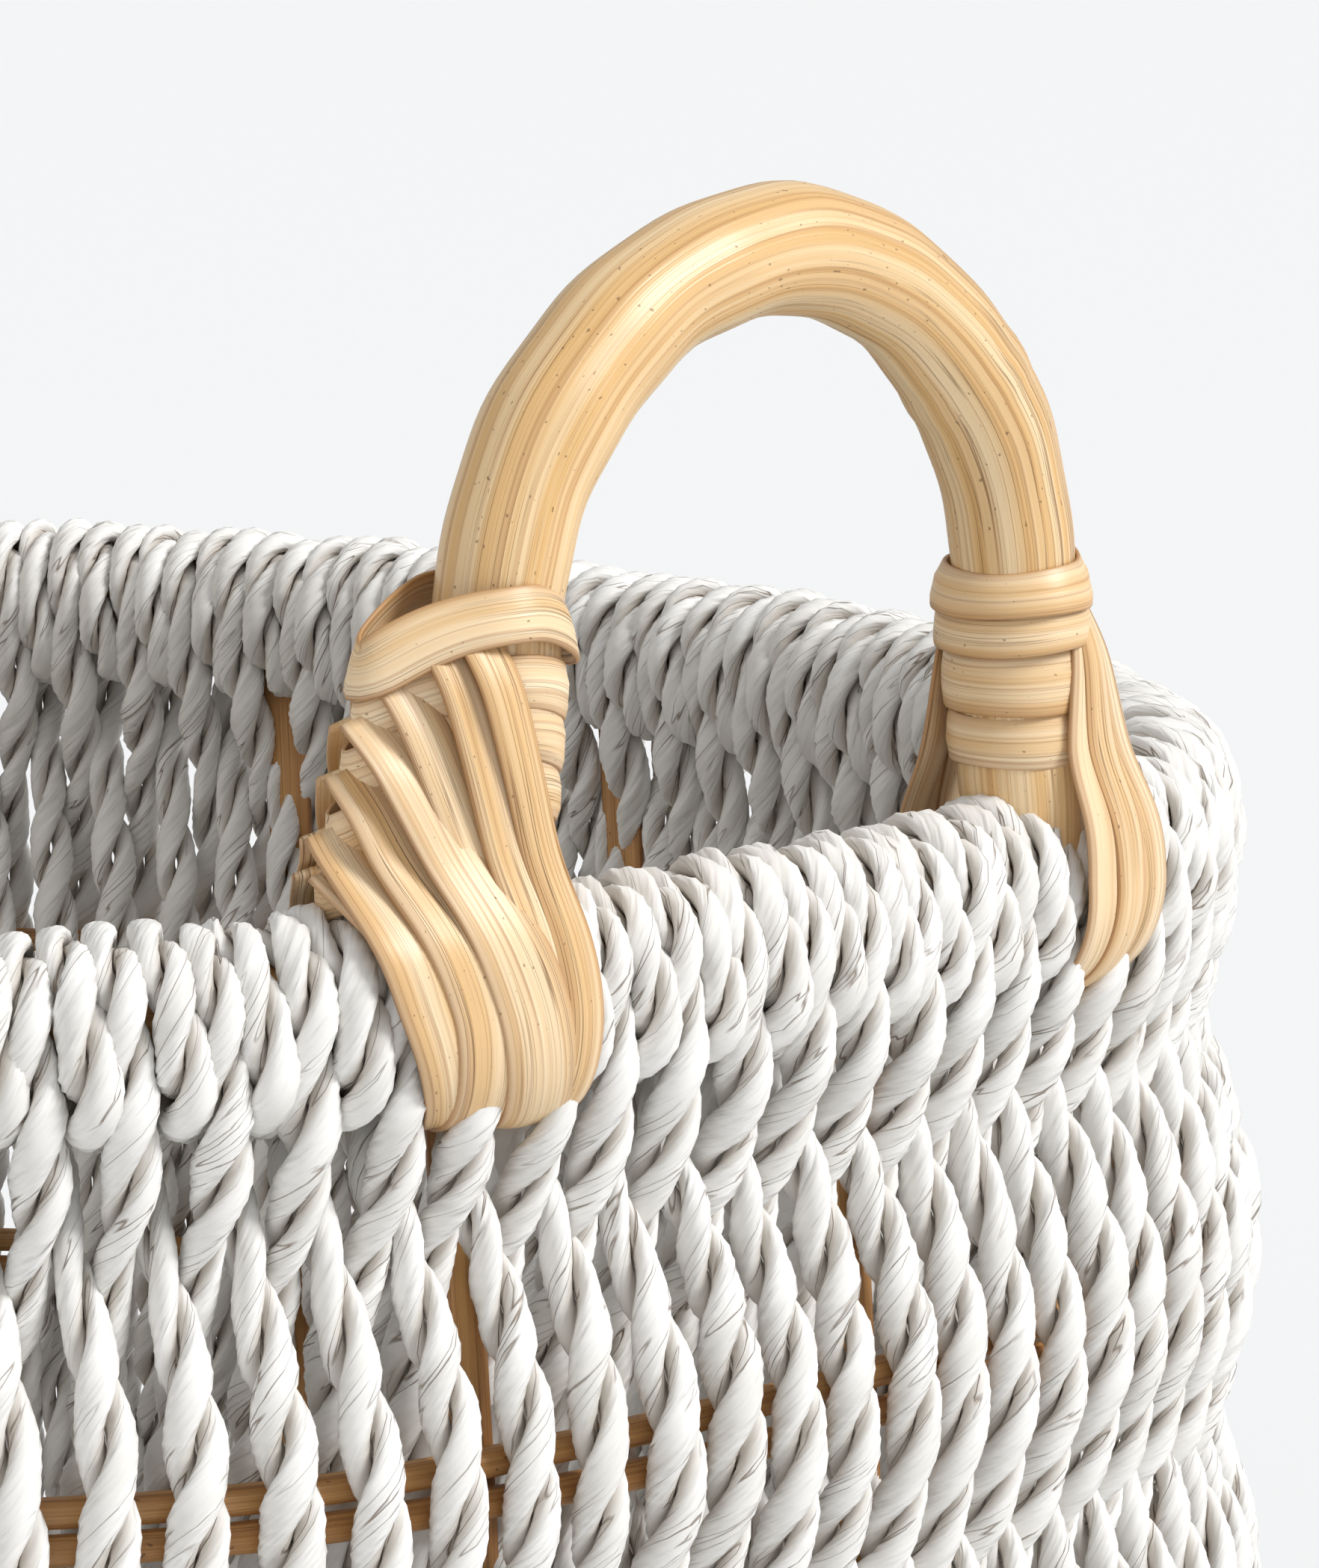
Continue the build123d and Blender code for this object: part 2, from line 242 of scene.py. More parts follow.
class Finish:
    """A node material whose patterns follow the fibre marks of a mesh."""

    def __init__(self, name):
        self.material = bpy.data.materials.new(name)
        self.material.use_nodes = True
        self.tree = self.material.node_tree
        self.surface = self.tree.nodes["Principled BSDF"]

    def node(self, kind, **values):
        node = self.tree.nodes.new(kind)
        for key, value in values.items():
            setattr(node, key, value)
        return node

    def wire(self, socket, value):
        if isinstance(value, bpy.types.NodeSocket):
            self.tree.links.new(value, socket)
        else:
            socket.default_value = value

    def mark(self, name):
        """The fibre vector, or the weight of painted shade that the mesh carries."""
        node = self.node("ShaderNodeAttribute", attribute_name=name)
        return node.outputs["Vector" if name == "fibre" else "Fac"]

    def noise(self, stretch, detail=2.0):
        """Noise in fibre space. stretch gives bumps per millimetre across and along the fibre."""
        scaled = self.node("ShaderNodeVectorMath", operation="MULTIPLY")
        self.wire(scaled.inputs[0], self.mark("fibre"))
        self.wire(scaled.inputs[1], (stretch[0], stretch[0], stretch[1]))
        noise = self.node("ShaderNodeTexNoise")
        self.wire(noise.inputs["Vector"], scaled.outputs[0])
        self.wire(noise.inputs["Scale"], 1.0)
        self.wire(noise.inputs["Detail"], detail)
        return noise.outputs["Fac"]

    def math(self, operation, a, b=0.0):
        node = self.node("ShaderNodeMath", operation=operation)
        self.wire(node.inputs[0], a)
        self.wire(node.inputs[1], b)
        return node.outputs[0]

    def span(self, value, low, high, to_low=0.0, to_high=1.0):
        """Maps a value from one range to another, and clamps it."""
        node = self.node("ShaderNodeMapRange")
        for socket, number in zip(node.inputs[1:5], (low, high, to_low, to_high)):
            self.wire(socket, number)
        self.wire(node.inputs[0], value)
        return node.outputs[0]

    def hairlines(self, stretch, width):
        """Thin lines along the fibre, where a noise passes its middle."""
        distance = self.math("ABSOLUTE", self.math("SUBTRACT", self.noise(stretch, 1.0), 0.5))
        return self.span(distance, 0.0, width, 1.0, 0.0)

    def blend(self, amount, a, b):
        node = self.node("ShaderNodeMix", data_type="RGBA")
        self.wire(node.inputs[0], amount)
        self.wire(node.inputs[6], (*a, 1) if isinstance(a, tuple) else a)
        self.wire(node.inputs[7], (*b, 1) if isinstance(b, tuple) else b)
        return node.outputs[2]

    def bump(self, height, depth, strength):
        """Sends a height pattern, depth millimetres deep, to the surface."""
        node = self.node("ShaderNodeBump")
        self.wire(node.inputs["Height"], height)
        self.wire(node.inputs["Distance"], depth * MM)
        self.wire(node.inputs["Strength"], strength)
        self.wire(self.surface.inputs["Normal"], node.outputs[0])

    def done(self, colour, roughness, gloss):
        self.wire(self.surface.inputs["Base Color"], colour)
        self.wire(self.surface.inputs["Roughness"], roughness)
        self.wire(self.surface.inputs["Specular IOR Level"], gloss)
        print("finish", self.material.name, len(self.tree.nodes), "nodes")
        return self.material


# %% Twisted white paper


def paper_finish():
    """Matt white paper with long creases, grey-brown lines of painted shade in the folds, and painted shade
    where the two plies meet.
    """
    f = Finish("twisted_paper")
    creases = f.noise((0.36, 0.05), 2.0)
    # Painted shade: thin dark lines in the folds, in sparse patches and wherever the plies meet.
    fold_shade = f.hairlines((0.3, 0.04), 0.014)
    sparse = f.span(f.noise((0.08, 0.03)), 0.47, 0.6)
    # Painted shade weight, highest on the side of a ply that faces the other ply.
    seam_shade = f.span(f.mark("shade_weight"), 0.5, 0.97)
    lines = f.math("MULTIPLY", fold_shade, f.math("MAXIMUM", sparse, seam_shade))
    colour = f.blend(f.span(f.noise((0.12, 0.02)), 0.35, 0.7), (0.88, 0.868, 0.845), (0.77, 0.752, 0.715))
    # Painted shade where the two plies meet, then the painted shade lines in the folds.
    colour = f.blend(f.math("MULTIPLY", seam_shade, 0.6), colour, (0.46, 0.40, 0.33))
    colour = f.blend(f.math("MULTIPLY", lines, 0.85), colour, (0.22, 0.145, 0.09))
    f.bump(f.math("SUBTRACT", creases, f.math("MULTIPLY", lines, 0.4)), 1.6, 0.6)
    return f.done(colour, 0.6, 0.35)


paper = paper_finish()

# %% Cane and rattan


def cane_finish(name, pale, middle, dark, grain, lines, gloss, roughness):
    """Long fibres from pale to dark. grain is bumps per millimetre across, lines how dark hairlines are."""
    f = Finish(name)
    bands = f.noise((grain * 0.35, 0.004), 2.0)
    fibres = f.noise((grain * 1.6, 0.012), 3.0)
    patches = f.noise((0.05, 0.02), 2.0)
    hair = f.math("MULTIPLY", f.hairlines((grain, 0.006), 0.02), f.span(patches, 0.42, 0.58))
    pits = f.span(f.noise((1.5, 0.9), 0.0), 0.80, 0.83)
    colour = f.blend(f.span(bands, 0.38, 0.66), middle, pale)
    colour = f.blend(f.span(fibres, 0.5, 0.72, 0.0, 0.6), colour, dark)
    colour = f.blend(f.math("MULTIPLY", hair, lines), colour, tuple(0.4 * c for c in dark))
    colour = f.blend(f.math("MULTIPLY", pits, 0.6), colour, tuple(0.35 * c for c in dark))
    # Painted shade along the edges of flat strips; rods and handles carry no weight for it.
    colour = f.blend(f.math("MULTIPLY", f.mark("shade_weight"), 0.65), colour, dark)
    f.bump(f.math("SUBTRACT", fibres, f.math("ADD", hair, pits)), 0.35, 0.5)
    return f.done(colour, roughness, gloss)


handle_cane = cane_finish(
    "peeled_cane", (0.88, 0.69, 0.43), (0.72, 0.45, 0.19), (0.40, 0.18, 0.055), 0.8, 0.6, 0.5, 0.34
)
flat_cane = cane_finish(
    "split_cane", (0.90, 0.72, 0.48), (0.76, 0.50, 0.24), (0.36, 0.155, 0.045), 0.8, 0.8, 0.5, 0.4
)
rattan = cane_finish(
    "raw_rattan", (0.64, 0.36, 0.14), (0.48, 0.235, 0.08), (0.24, 0.09, 0.026), 1.2, 0.5, 0.45, 0.38
)

# %% [markdown]
# ## The ropes of the walls
# A hundred ropes stand side by side. Each goes up inside the basket, one and a half times round the
# rim hoop, down again outside, and round the base hoop, and its two legs cross halfway between the
# rings, so that one is outside at one ring and the other at the next. One such loop is drawn on the
# flat strip. Small waves, different for each rope, then take away its sameness.

# %% The path of one rope
ROPES = 100
GROUPS = 10
PITCH = OUTLINE / ROPES
LEAN = PITCH / 4  # sideways swing of a rope at a ring
HOOP_LEAN = 1.5  # and on a hoop
HANG = 5.6  # how far the short loops hang away from the rim hoop
WALL_REACH = 8.6  # from the middle of the wall to the middle of a rope, at a ring
HOOP_REACH = hoop_r + 4.1  # from a hoop's centre to the middle of the rope on it
CROSSING_DROP = 54.0  # rim top to the first crossing
ROPE_STEP = 2.4
LEAN_FULL = 2.2  # hoop reaches from a hoop to where a rope has its full lean
LEG_POINTS, HOOP_POINTS = 200, 121


def rope_loop():
    """Centre line (along, height, outwards) of one rope, as an evenly spaced closed loop."""
    ring_gap = (ring_z[0] - ring_z[-1]) / (len(ring_z) - 1)
    above = base_z + HOOP_REACH
    heights = [base_z, above, (above + ring_z[-1]) / 2]
    for z in ring_z[::-1]:
        heights += [z, z + ring_gap / 2]
    heights[-1:] = [rim_top - CROSSING_DROP, rim_z - HOOP_REACH, rim_z]
    # Quarter turns of the swing at each height: even is a crossing, odd is outside or inside.
    quarters = [7, 7, 6, 5, 4, 3, 2, 1, 0, -1, -1]
    z = np.linspace(base_z, rim_z, LEG_POINTS)
    swing = np.sin(np.interp(z, heights, np.array(quarters) * TURN / 4))
    to_hoop = np.minimum(z - base_z, rim_z - z) / HOOP_REACH
    reach = WALL_REACH + (HOOP_REACH - WALL_REACH) * np.clip(1 - to_hoop, 0, 1)
    lean = np.interp(to_hoop, [1, LEAN_FULL], [HOOP_LEAN, LEAN])
    up = np.stack([lean * swing, z, reach * swing], axis=1)
    down = np.stack([PITCH / 2 - lean * swing, z, -reach * swing], axis=1)[::-1]
    turn = np.radians(np.linspace(180, -360, HOOP_POINTS)[1:-1])
    passes = [-HOOP_LEAN, HOOP_LEAN, PITCH / 2 - HOOP_LEAN, PITCH / 2 + HOOP_LEAN]
    side = np.interp(-turn, np.radians([-180, 0, 180, 360]), passes)
    loop_r = HOOP_REACH + HANG * np.clip(-np.sin(turn), 0, 1)
    over = np.stack([side, rim_z + loop_r * np.sin(turn), loop_r * np.cos(turn)], axis=1)
    under = np.stack([side, base_z - HOOP_REACH * np.sin(turn), HOOP_REACH * np.cos(turn)], axis=1)[::-1]
    path, _, _ = spaced(np.concatenate([up, over, down, under]), ROPE_STEP, True)
    return spaced(eased(path, 5, True), ROPE_STEP, True)


rope_path, rope_along, rope_length = rope_loop()
print("rope loop", round(rope_length), "mm,", len(rope_path), "points")

# %% Two plies round a path
LAY = 34.5  # one full turn of the two plies
PLY_OFFSET = 2.3  # middle of the rope to the middle of a ply
PLY_OUT = 2.6  # a ply's half size, outwards
PLY_IN = 2.2  # and towards the other ply
PLY_SIDE = 3.5  # and sideways
AROUND = 14
FOLD_LENGTHS = (31, 23)  # how far along a ply its creases go once round it
FIBRE_R = 2.6  # radius at which a ply's marks go round it
FIBRE_TURN = 60  # one full turn of the paper's own creases
MARK_RANGE = 2000  # the marks of each fibre start at a random place in this length
PLY_SHIFT = 700  # and the second ply's marks this much further on


def waves(rng, along, length, parts):
    """A smooth random wander that closes on itself. parts are (waves in the length, size)."""
    total = np.zeros_like(along)
    for count, size in parts:
        total = total + size * np.sin(TURN * count * along / length + rng.uniform(0, TURN))
    return total


def lay_rope(rng, path, along, length, squeeze, closed, size=1.0):
    """Rings of points for the two plies of a rope, with their marks. squeeze is how wide and how
    thick the rope is at each point, against its round shape."""
    sideways = np.array([1.0, 0, 0])
    front = heading(path, closed)
    u = unit(sideways - front * front[:, :1])
    v = np.cross(front, u)
    turns = round(length / LAY)
    twist = TURN * turns * along / length + waves(rng, along, length, [(3, 0.5), (8, 0.25)])
    thick = size * (1 + waves(rng, along, length, [(4, 0.035), (11, 0.03)]))
    round_it = np.linspace(0, TURN, AROUND, endpoint=False)
    start = rng.uniform(0, MARK_RANGE)
    grids = []
    for ply in (0, 1):
        angle = (twist + ply * math.pi)[:, None]
        slow, quick = [(TURN * round(length / fold) * along / length)[:, None] for fold in FOLD_LENGTHS]
        fold = 1 + 0.055 * np.sin(3 * round_it + slow)
        fold += 0.045 * np.sin(2 * round_it - quick + ply)
        out = np.where(np.cos(round_it) > 0, PLY_OUT, PLY_IN) * np.cos(round_it) * fold + PLY_OFFSET
        across = PLY_SIDE * np.sin(round_it) * fold
        a = (out * np.cos(angle) - across * np.sin(angle)) * (thick * squeeze[:, 0])[:, None]
        b = (out * np.sin(angle) + across * np.cos(angle)) * (thick * squeeze[:, 1])[:, None]
        points = path[:, None] + a[..., None] * u[:, None] + b[..., None] * v[:, None]
        spin = round_it - (TURN * along / FIBRE_TURN)[:, None]
        far = np.broadcast_to((start + PLY_SHIFT * ply + along)[:, None], spin.shape)
        # Weight of painted shade: 1 on the side of a ply that faces the other ply, 0 on its outer side.
        shade_weight = np.broadcast_to((1 - np.cos(round_it)) / 2, spin.shape)
        marks = np.stack([FIBRE_R * np.cos(spin), FIBRE_R * np.sin(spin), far, shade_weight], axis=-1)
        grids.append((points, marks))
    return grids


# %% Pinching the rope where it crosses and where it is wound
CROSSING_HALF = 4.5  # a rope this near to the middle of the wall is passing another


def loop_squeeze(path):
    """Narrow where two ropes pass each other, and flattened on the hoops."""
    to_hoop = np.minimum(
        np.hypot(path[:, 1] - rim_z, path[:, 2]), np.hypot(path[:, 1] - base_z, path[:, 2])
    )
    wound = np.clip((HOOP_REACH + 4 - to_hoop) / 3, 0, 1)
    crossing = np.exp(-((path[:, 2] / CROSSING_HALF) ** 2)) * (1 - wound)
    wide = 1 - 0.28 * crossing - 0.16 * wound
    thick = 1 + 0.02 * crossing - 0.14 * wound
    return np.stack([wide, thick], axis=1)


squeeze = loop_squeeze(rope_path)


def arcs_between(low, high):
    """Names of the outline's arcs that a stretch of the wall touches."""
    edges = ENDS - LENGTHS[0] / 2
    names = []
    for name, end, length in zip(ARC_NAMES, edges, LENGTHS):
        for lap in (-OUTLINE, 0, OUTLINE):
            if end + lap > low and end - length + lap < high:
                names.append(name)
    return sorted(set(names))


def nodes_between(low, high):
    """CAD nodes of the ropes along a stretch of the wall."""
    names = arcs_between(low, high)
    nodes = [f"rim_ropes_{name}" for name in names] + [f"wall_ropes_{name}" for name in names]
    walls = {ARC_NAMES.index(name) // 2 for name in names}
    return nodes + [f"base_edge_ropes_{ARC_NAMES[2 * wall]}" for wall in sorted(walls)]


# %% Weave the walls
rng = np.random.default_rng(12)
for group in range(GROUPS):
    grids = []
    for rope in range(group * ROPES // GROUPS, (group + 1) * ROPES // GROUPS):
        path = rope_path.copy()
        path[:, 0] += rope * PITCH + waves(rng, rope_along, rope_length, [(2, 0.35), (7, 0.45), (13, 0.3)])
        path[:, 1] += waves(rng, rope_along, rope_length, [(5, 0.5), (9, 0.4)])
        path[:, 2] += waves(rng, rope_along, rope_length, [(6, 0.4), (11, 0.3)])
        for points, marks in lay_rope(rng, path, rope_along, rope_length, squeeze, True):
            grids.append((bend(points), marks))
    low, high = group * OUTLINE / GROUPS, (group + 1) * OUTLINE / GROUPS
    make_mesh(f"ropes_{group + 1}", grids, True, paper, nodes_between(low, high))

# %% [markdown]
# ## Hoops and rods
# Rattan is a vine, so its rods are nearly round, waver a little, and swell at their joints. A curve
# with a bevel would be perfectly even. Rings of points let the radius and the centre wander.

# %% Rods along the outline
JOINT_GAP = 190  # between the joints of a rattan vine
JOINT_LENGTH = 3
ROD_POINTS = 300
WANDER = 0.35  # how far a thin rod strays to each side


def rod_rings(rng, path, along, length, radius, wander, u, v, around=12):
    """Rings of a slightly uneven rod, with their marks."""
    centre = path + u * waves(rng, along, length, [(3, wander), (8, wander / 2)])[:, None]
    centre = centre + v * waves(rng, along, length, [(4, wander), (9, wander / 2)])[:, None]
    size = radius * (1 + waves(rng, along, length, [(5, 0.02), (14, 0.015)]))
    joint = np.abs(np.mod(along / JOINT_GAP + rng.uniform(), 1) - 0.5) * JOINT_GAP
    size = size * (1 + 0.05 * np.exp(-((joint / JOINT_LENGTH) ** 2)))
    angle = np.linspace(0, TURN, around, endpoint=False)
    points = centre[:, None] + (size[:, None] * np.cos(angle))[..., None] * u[:, None]
    points = points + (size[:, None] * np.sin(angle))[..., None] * v[:, None]
    far = np.broadcast_to((rng.uniform(0, MARK_RANGE) + along)[:, None], points.shape[:2])
    flat = np.broadcast_to(angle, points.shape[:2])
    marks = np.stack([radius * np.cos(flat), radius * np.sin(flat), far, 0 * far], axis=-1)
    return points, marks


def wall_rod(name, z, out, radius, wander):
    """A rod or hoop that follows the whole outline."""
    along = np.linspace(0, OUTLINE, ROD_POINTS, endpoint=False)
    path = np.stack([along, np.full_like(along, z), np.full_like(along, out)], axis=1)
    u = np.broadcast_to([0, 1.0, 0], path.shape)
    v = np.broadcast_to([0, 0, 1.0], path.shape)
    points, marks = rod_rings(rng, path, along, OUTLINE, radius, wander, u, v)
    make_mesh(f"{name}_grain", [(bend(points), marks)], True, rattan, [name])


rng = np.random.default_rng(31)
wall_rod("rim_hoop", rim_z, 0, hoop_r, 0)
wall_rod("base_hoop", base_z, 0, hoop_r, 0)
for ring in ring_names:
    for rod in ("upper_rod", "lower_rod"):
        node = f"{ring}_{rod}"
        low, high = cad_box(node)
        rod_r = (high[2] - low[2]) / 2
        wall_rod(node, middle_z(node), high[0] - rod_r - half_x, rod_r, WANDER)

# %% [markdown]
# ## Strips
# The stakes, the bindings and the lashings are all flat strips. A strip is a path with a direction
# that its face looks in. Its section is thin and slightly crowned, because it is split from the
# outside of a cane. Modelling the edges instead of using a thin plane gives each strip its own
# shadow line against the next one.

# %% A flat strip along a path
STRIP_SECTION = np.array([-1, -0.92, -0.6, -0.25, 0.25, 0.6, 0.92, 1])  # points across, in half widths
STRIP_EDGE = 0.45  # how much of its thickness a strip keeps at its edges


def strip_rings(rng, path, face, width, thickness, closed=False, crown=0.35, ripple=0.0, pinch=1):
    """Rings of a flat strip. face is the direction that its outer side looks in at each point."""
    front = heading(path, closed)
    across = unit(np.cross(front, face))
    out = np.cross(across, front)
    along = np.concatenate([[0], np.cumsum(np.linalg.norm(np.diff(path, axis=0), axis=1))])
    length = along[-1] + (np.linalg.norm(path[0] - path[-1]) if closed else 1)
    x = STRIP_SECTION
    top = thickness * (1 - crown * x**2) + ripple * np.sin(7 * x + rng.uniform(0, TURN))
    x = np.concatenate([x, x[::-1]])
    y = np.concatenate([top, np.zeros_like(top)])
    y[[0, len(top) - 1]] = STRIP_EDGE * thickness
    wide = width / 2 * (1 + waves(rng, along, length, [(1, 0.04), (3, 0.03)])) * pinch
    points = path[:, None] + (wide[:, None] * x)[..., None] * across[:, None]
    points = points + y[None, :, None] * out[:, None]
    far = np.broadcast_to((rng.uniform(0, MARK_RANGE) + along)[:, None], points.shape[:2])
    side = np.broadcast_to(width / 2 * x + rng.uniform(0, 500), points.shape[:2])
    # Weight of painted shade along the strip's two edges.
    edge = np.broadcast_to(np.abs(x) ** 6, points.shape[:2])
    marks = np.stack([side, 0 * side, far, edge], axis=-1)
    return points, marks


# %% The stakes
STAKES = 16
STAKE_SHIFT = 16.0
STAKE_WIDTH = 9.5
STAKE_THICKNESS = 2.3
STAKE_GAP = 0.2  # between a stake and the rods outside it
STAKE_WAVE = 260  # a stake bows once in this length
stake_out = cad_box("ring_1_upper_rod")[1][0] - half_x - 2 * rod_r - STAKE_GAP
rng = np.random.default_rng(5)
for quarter, wall in enumerate(("right", "back", "left", "front")):
    grids = []
    for i in range(quarter * STAKES // 4, (quarter + 1) * STAKES // 4):
        z = np.linspace(base_z + hoop_r, rim_z - hoop_r, 40)
        middle = STAKE_SHIFT + i * OUTLINE / STAKES + waves(rng, z, STAKE_WAVE, [(1, 0.6)])
        path = np.stack([middle, z, np.full_like(z, stake_out - STAKE_THICKNESS)], axis=1)
        face = np.broadcast_to([0, 0, 1.0], path.shape)
        points, marks = strip_rings(rng, path, face, STAKE_WIDTH, STAKE_THICKNESS)
        grids.append((bend(points), marks))
    make_mesh(f"stakes_{wall}_grain", grids, False, rattan, [f"stakes_{wall}"])

# %% [markdown]
# ## The floor of the basket
# Nine stout rods run from handle wall to handle wall, and ropes are woven over and under them.
# The ropes end inside the winding of the base hoop. This part is mostly out of sight, so its mesh
# is coarser, but it is real weaving, made with the same rope as the walls.

# %% Base rods
BASE_RODS = 9
BASE_ROD_R = 3.5
EDGE_POINTS = 721
rods_low, rods_high = cad_box("base_rods")
rod_pitch = (rods_high[1] - rods_low[1] - 2 * BASE_ROD_R) / (BASE_RODS - 1)
edge_along = np.linspace(0, OUTLINE, EDGE_POINTS)
edge = bend(np.stack([edge_along, 0 * edge_along, np.full(EDGE_POINTS, -HOOP_REACH)], axis=1))


def half_reach(value, axis):
    """Half the inside of the outline along one axis, at a value of the other."""
    quarter = edge[(edge[:, 0] >= 0) & (edge[:, 1] >= 0)]
    order = np.argsort(quarter[:, 1 - axis])
    return np.interp(abs(value), quarter[order, 1 - axis], quarter[order, axis])


grids = []
for i in range(BASE_RODS):
    y = (i - (BASE_RODS - 1) / 2) * rod_pitch
    half = half_reach(y, 0)
    x = np.linspace(-half, half, 60)
    path = np.stack([x, np.full_like(x, y), np.full_like(x, base_z)], axis=1)
    u, v = np.broadcast_to([0, 1.0, 0], path.shape), np.broadcast_to([0, 0, 1.0], path.shape)
    grids.append(rod_rings(rng, path, x + half, 2 * half, BASE_ROD_R, 0.3, u, v))
make_mesh("base_rods_grain", grids, False, rattan, ["base_rods"])

# %% Ropes of the floor
FLOOR_PITCH = 9.6
FLOOR_LIFT = BASE_ROD_R + 4.0  # from the middle of a rod to the middle of a rope over it
FLOOR_STEP = 3.6
FLOOR_END = 12  # each rope comes back to the middle over this length at its ends
FLOOR_SQUEEZE = [0.98, 0.86]
rng = np.random.default_rng(8)
floor_half = int((half_x - 2 * HOOP_REACH) / FLOOR_PITCH)
for part in (0, 1):
    grids = []
    for i in range(-floor_half, floor_half + 1):
        if (i >= 0) != bool(part):
            continue
        x = i * FLOOR_PITCH
        half = half_reach(x, 1)
        y = np.linspace(-half, half, int(2 * half / FLOOR_STEP))
        z = FLOOR_LIFT * np.cos(math.pi * y / rod_pitch) * (1 if i % 2 else -1)
        z = base_z + z * np.clip((half - np.abs(y)) / FLOOR_END, 0, 1)
        path = np.stack([np.full_like(y, x), y, z], axis=1)
        path, along, length = spaced(path, FLOOR_STEP, False)
        path[:, 0] += waves(rng, along, length, [(2, 0.3), (5, 0.3)])
        flat = np.broadcast_to(FLOOR_SQUEEZE, (len(path), 2))
        grids += lay_rope(rng, path, along, length, flat, False)
    make_mesh(f"floor_ropes_{part + 1}", grids, False, paper, ["base_ropes"])

# %% [markdown]
# ## Handles
# Each handle is one peeled cane, steamed and bent into an arch. Its legs stand on the rim hoop,
# inside the winding. The cane isn't quite round, and its joints leave faint rings.

# %% The two arches
ARCH_FLAT = 2.2  # how much lower than round the top of the arch is
SPLAY = 4.8  # how far the legs lean apart at the rim
SPLAY_TOP = 75.0  # rim top to where they start to
HANDLE_STEP = 2.5


def splay_at(height):
    """How far a leg leans outwards at a height above the rim."""
    return SPLAY * np.clip((SPLAY_TOP - height) / SPLAY_TOP, 0, 1.2) ** 1.6


rng = np.random.default_rng(21)
for hand in ("right", "left"):
    low, high = cad_box(f"handle_{hand}")
    cane_r = (high[0] - low[0]) / 2
    handle_x = (low[0] + high[0]) / 2
    half_span = high[1] - cane_r
    spring = high[2] - cane_r - half_span
    arch = np.radians(np.linspace(180, 0, 70))
    legs = np.linspace(rim_z + 1, spring, 24)[:-1]
    left = np.stack([np.full_like(legs, -half_span), legs], axis=1)
    bow = np.stack([half_span * np.cos(arch), spring + (half_span - ARCH_FLAT) * np.sin(arch)], axis=1)
    flat = np.concatenate([left, bow, left[::-1] * [-1, 1]])
    wide = flat[:, 0] + np.sign(flat[:, 0]) * splay_at(flat[:, 1] - rim_top)
    path = np.stack([np.full(len(flat), handle_x), wide, flat[:, 1]], axis=1)
    path, along, length = spaced(path, HANDLE_STEP, False)
    front = heading(path, False)
    u = np.broadcast_to([1.0, 0, 0], path.shape)
    v = np.cross(front, u)
    grid = rod_rings(rng, path, along, length, cane_r, 0.25, u, v, around=32)
    make_mesh(f"handle_{hand}_cane", [grid], False, handle_cane, [f"handle_{hand}"])
print("handle", handle_x, half_span, spring, cane_r)

# %% [markdown]
# ## Lashings
# Flat cane holds each leg. Rings of it go round the leg, and strips fan from under the top ring over
# the rim, round below it and up inside. On one leg of each handle the fan is wide, and its strips
# turn back in a leaning ridge, each one tucked under the ring above it, like herringbone. The
# lashing is drawn on the flat strip too, measured outwards from the middle of the leg.

# %% Rings round a leg
RIDGE_FOOT = 34.6  # from the leg out to the ridge, at the rim
RIDGE_LEAN = 0.27  # how far the ridge leans back towards the leg for each millimetre up
RIDGE_ROUND = 1.3  # half the thickness of the ridge
BAND_R = cane_r + 0.3
STRIP = 1.3  # thickness of the flat cane
TIGHT = 0.6  # between a ring and the leg, where no strip lies between them
FACE_T = 2.0  # distance out from the leg's middle at which a ring's face height is given
SNUG_T = (-2, 8)  # a wide lashing's ring leaves the leg between these distances
CANE_STEP = 1.6


def ridge_at(height):
    """How far out from the leg the ridge is, at a height above the rim."""
    return RIDGE_FOOT - RIDGE_LEAN * height


def ring_path(radius, reach, tip):
    """A loop round the leg, seen from above, that reaches out to a narrower nose. It starts inside."""
    open_angle = math.acos((radius - tip) / (reach - tip))
    back = np.linspace(open_angle, TURN - open_angle, 80)
    nose = np.linspace(-open_angle, open_angle, 24)
    t = np.concatenate([radius * np.cos(back), reach - tip + tip * np.cos(nose)])
    n = np.concatenate([radius * np.sin(back), tip * np.sin(nose)])
    loop, _, _ = spaced(np.stack([t, n], axis=1), CANE_STEP, True)
    loop = eased(loop, 3, True)
    return np.roll(loop, -int(np.argmin(loop[:, 1])), axis=0)


def leg_ring(rng, heights, width, lift, tilt, ridged):
    """A ring of cane round a leg. heights are at its near side, its face and its far side. tilt is
    how far its upper edge leans in over the ends of the strips."""
    near, face_height, far = heights
    radius = BAND_R + lift
    reach = ridge_at(far) + lift if ridged else radius + 0.01
    loop = ring_path(radius, reach, RIDGE_ROUND + lift if ridged else radius)
    t, n = loop[:, 0], loop[:, 1]
    h = face_height - (face_height - near) * np.clip((FACE_T - t) / (FACE_T + radius), 0, 1) ** 2
    h = h - (face_height - far) * np.clip((t - FACE_T) / (reach - FACE_T), 0, 1) ** 2.2
    share = (BAND_R + TIGHT) / (BAND_R + max(lift, TIGHT))
    snug = np.interp(t, SNUG_T, [share, 1]) if ridged else np.full_like(t, share)
    lean = splay_at(face_height) * (np.clip(1 - t / reach, 0, 1) if ridged else 1)
    path = np.stack([t * snug + lean, rim_top + h, n * (snug if ridged else 1)], axis=1)
    ahead = heading(loop, True)
    face = unit(np.stack([ahead[:, 1], np.full_like(t, tilt), -ahead[:, 0]], axis=1))
    return strip_rings(rng, path, face, width, STRIP, closed=True, crown=0.55, ripple=0.08)


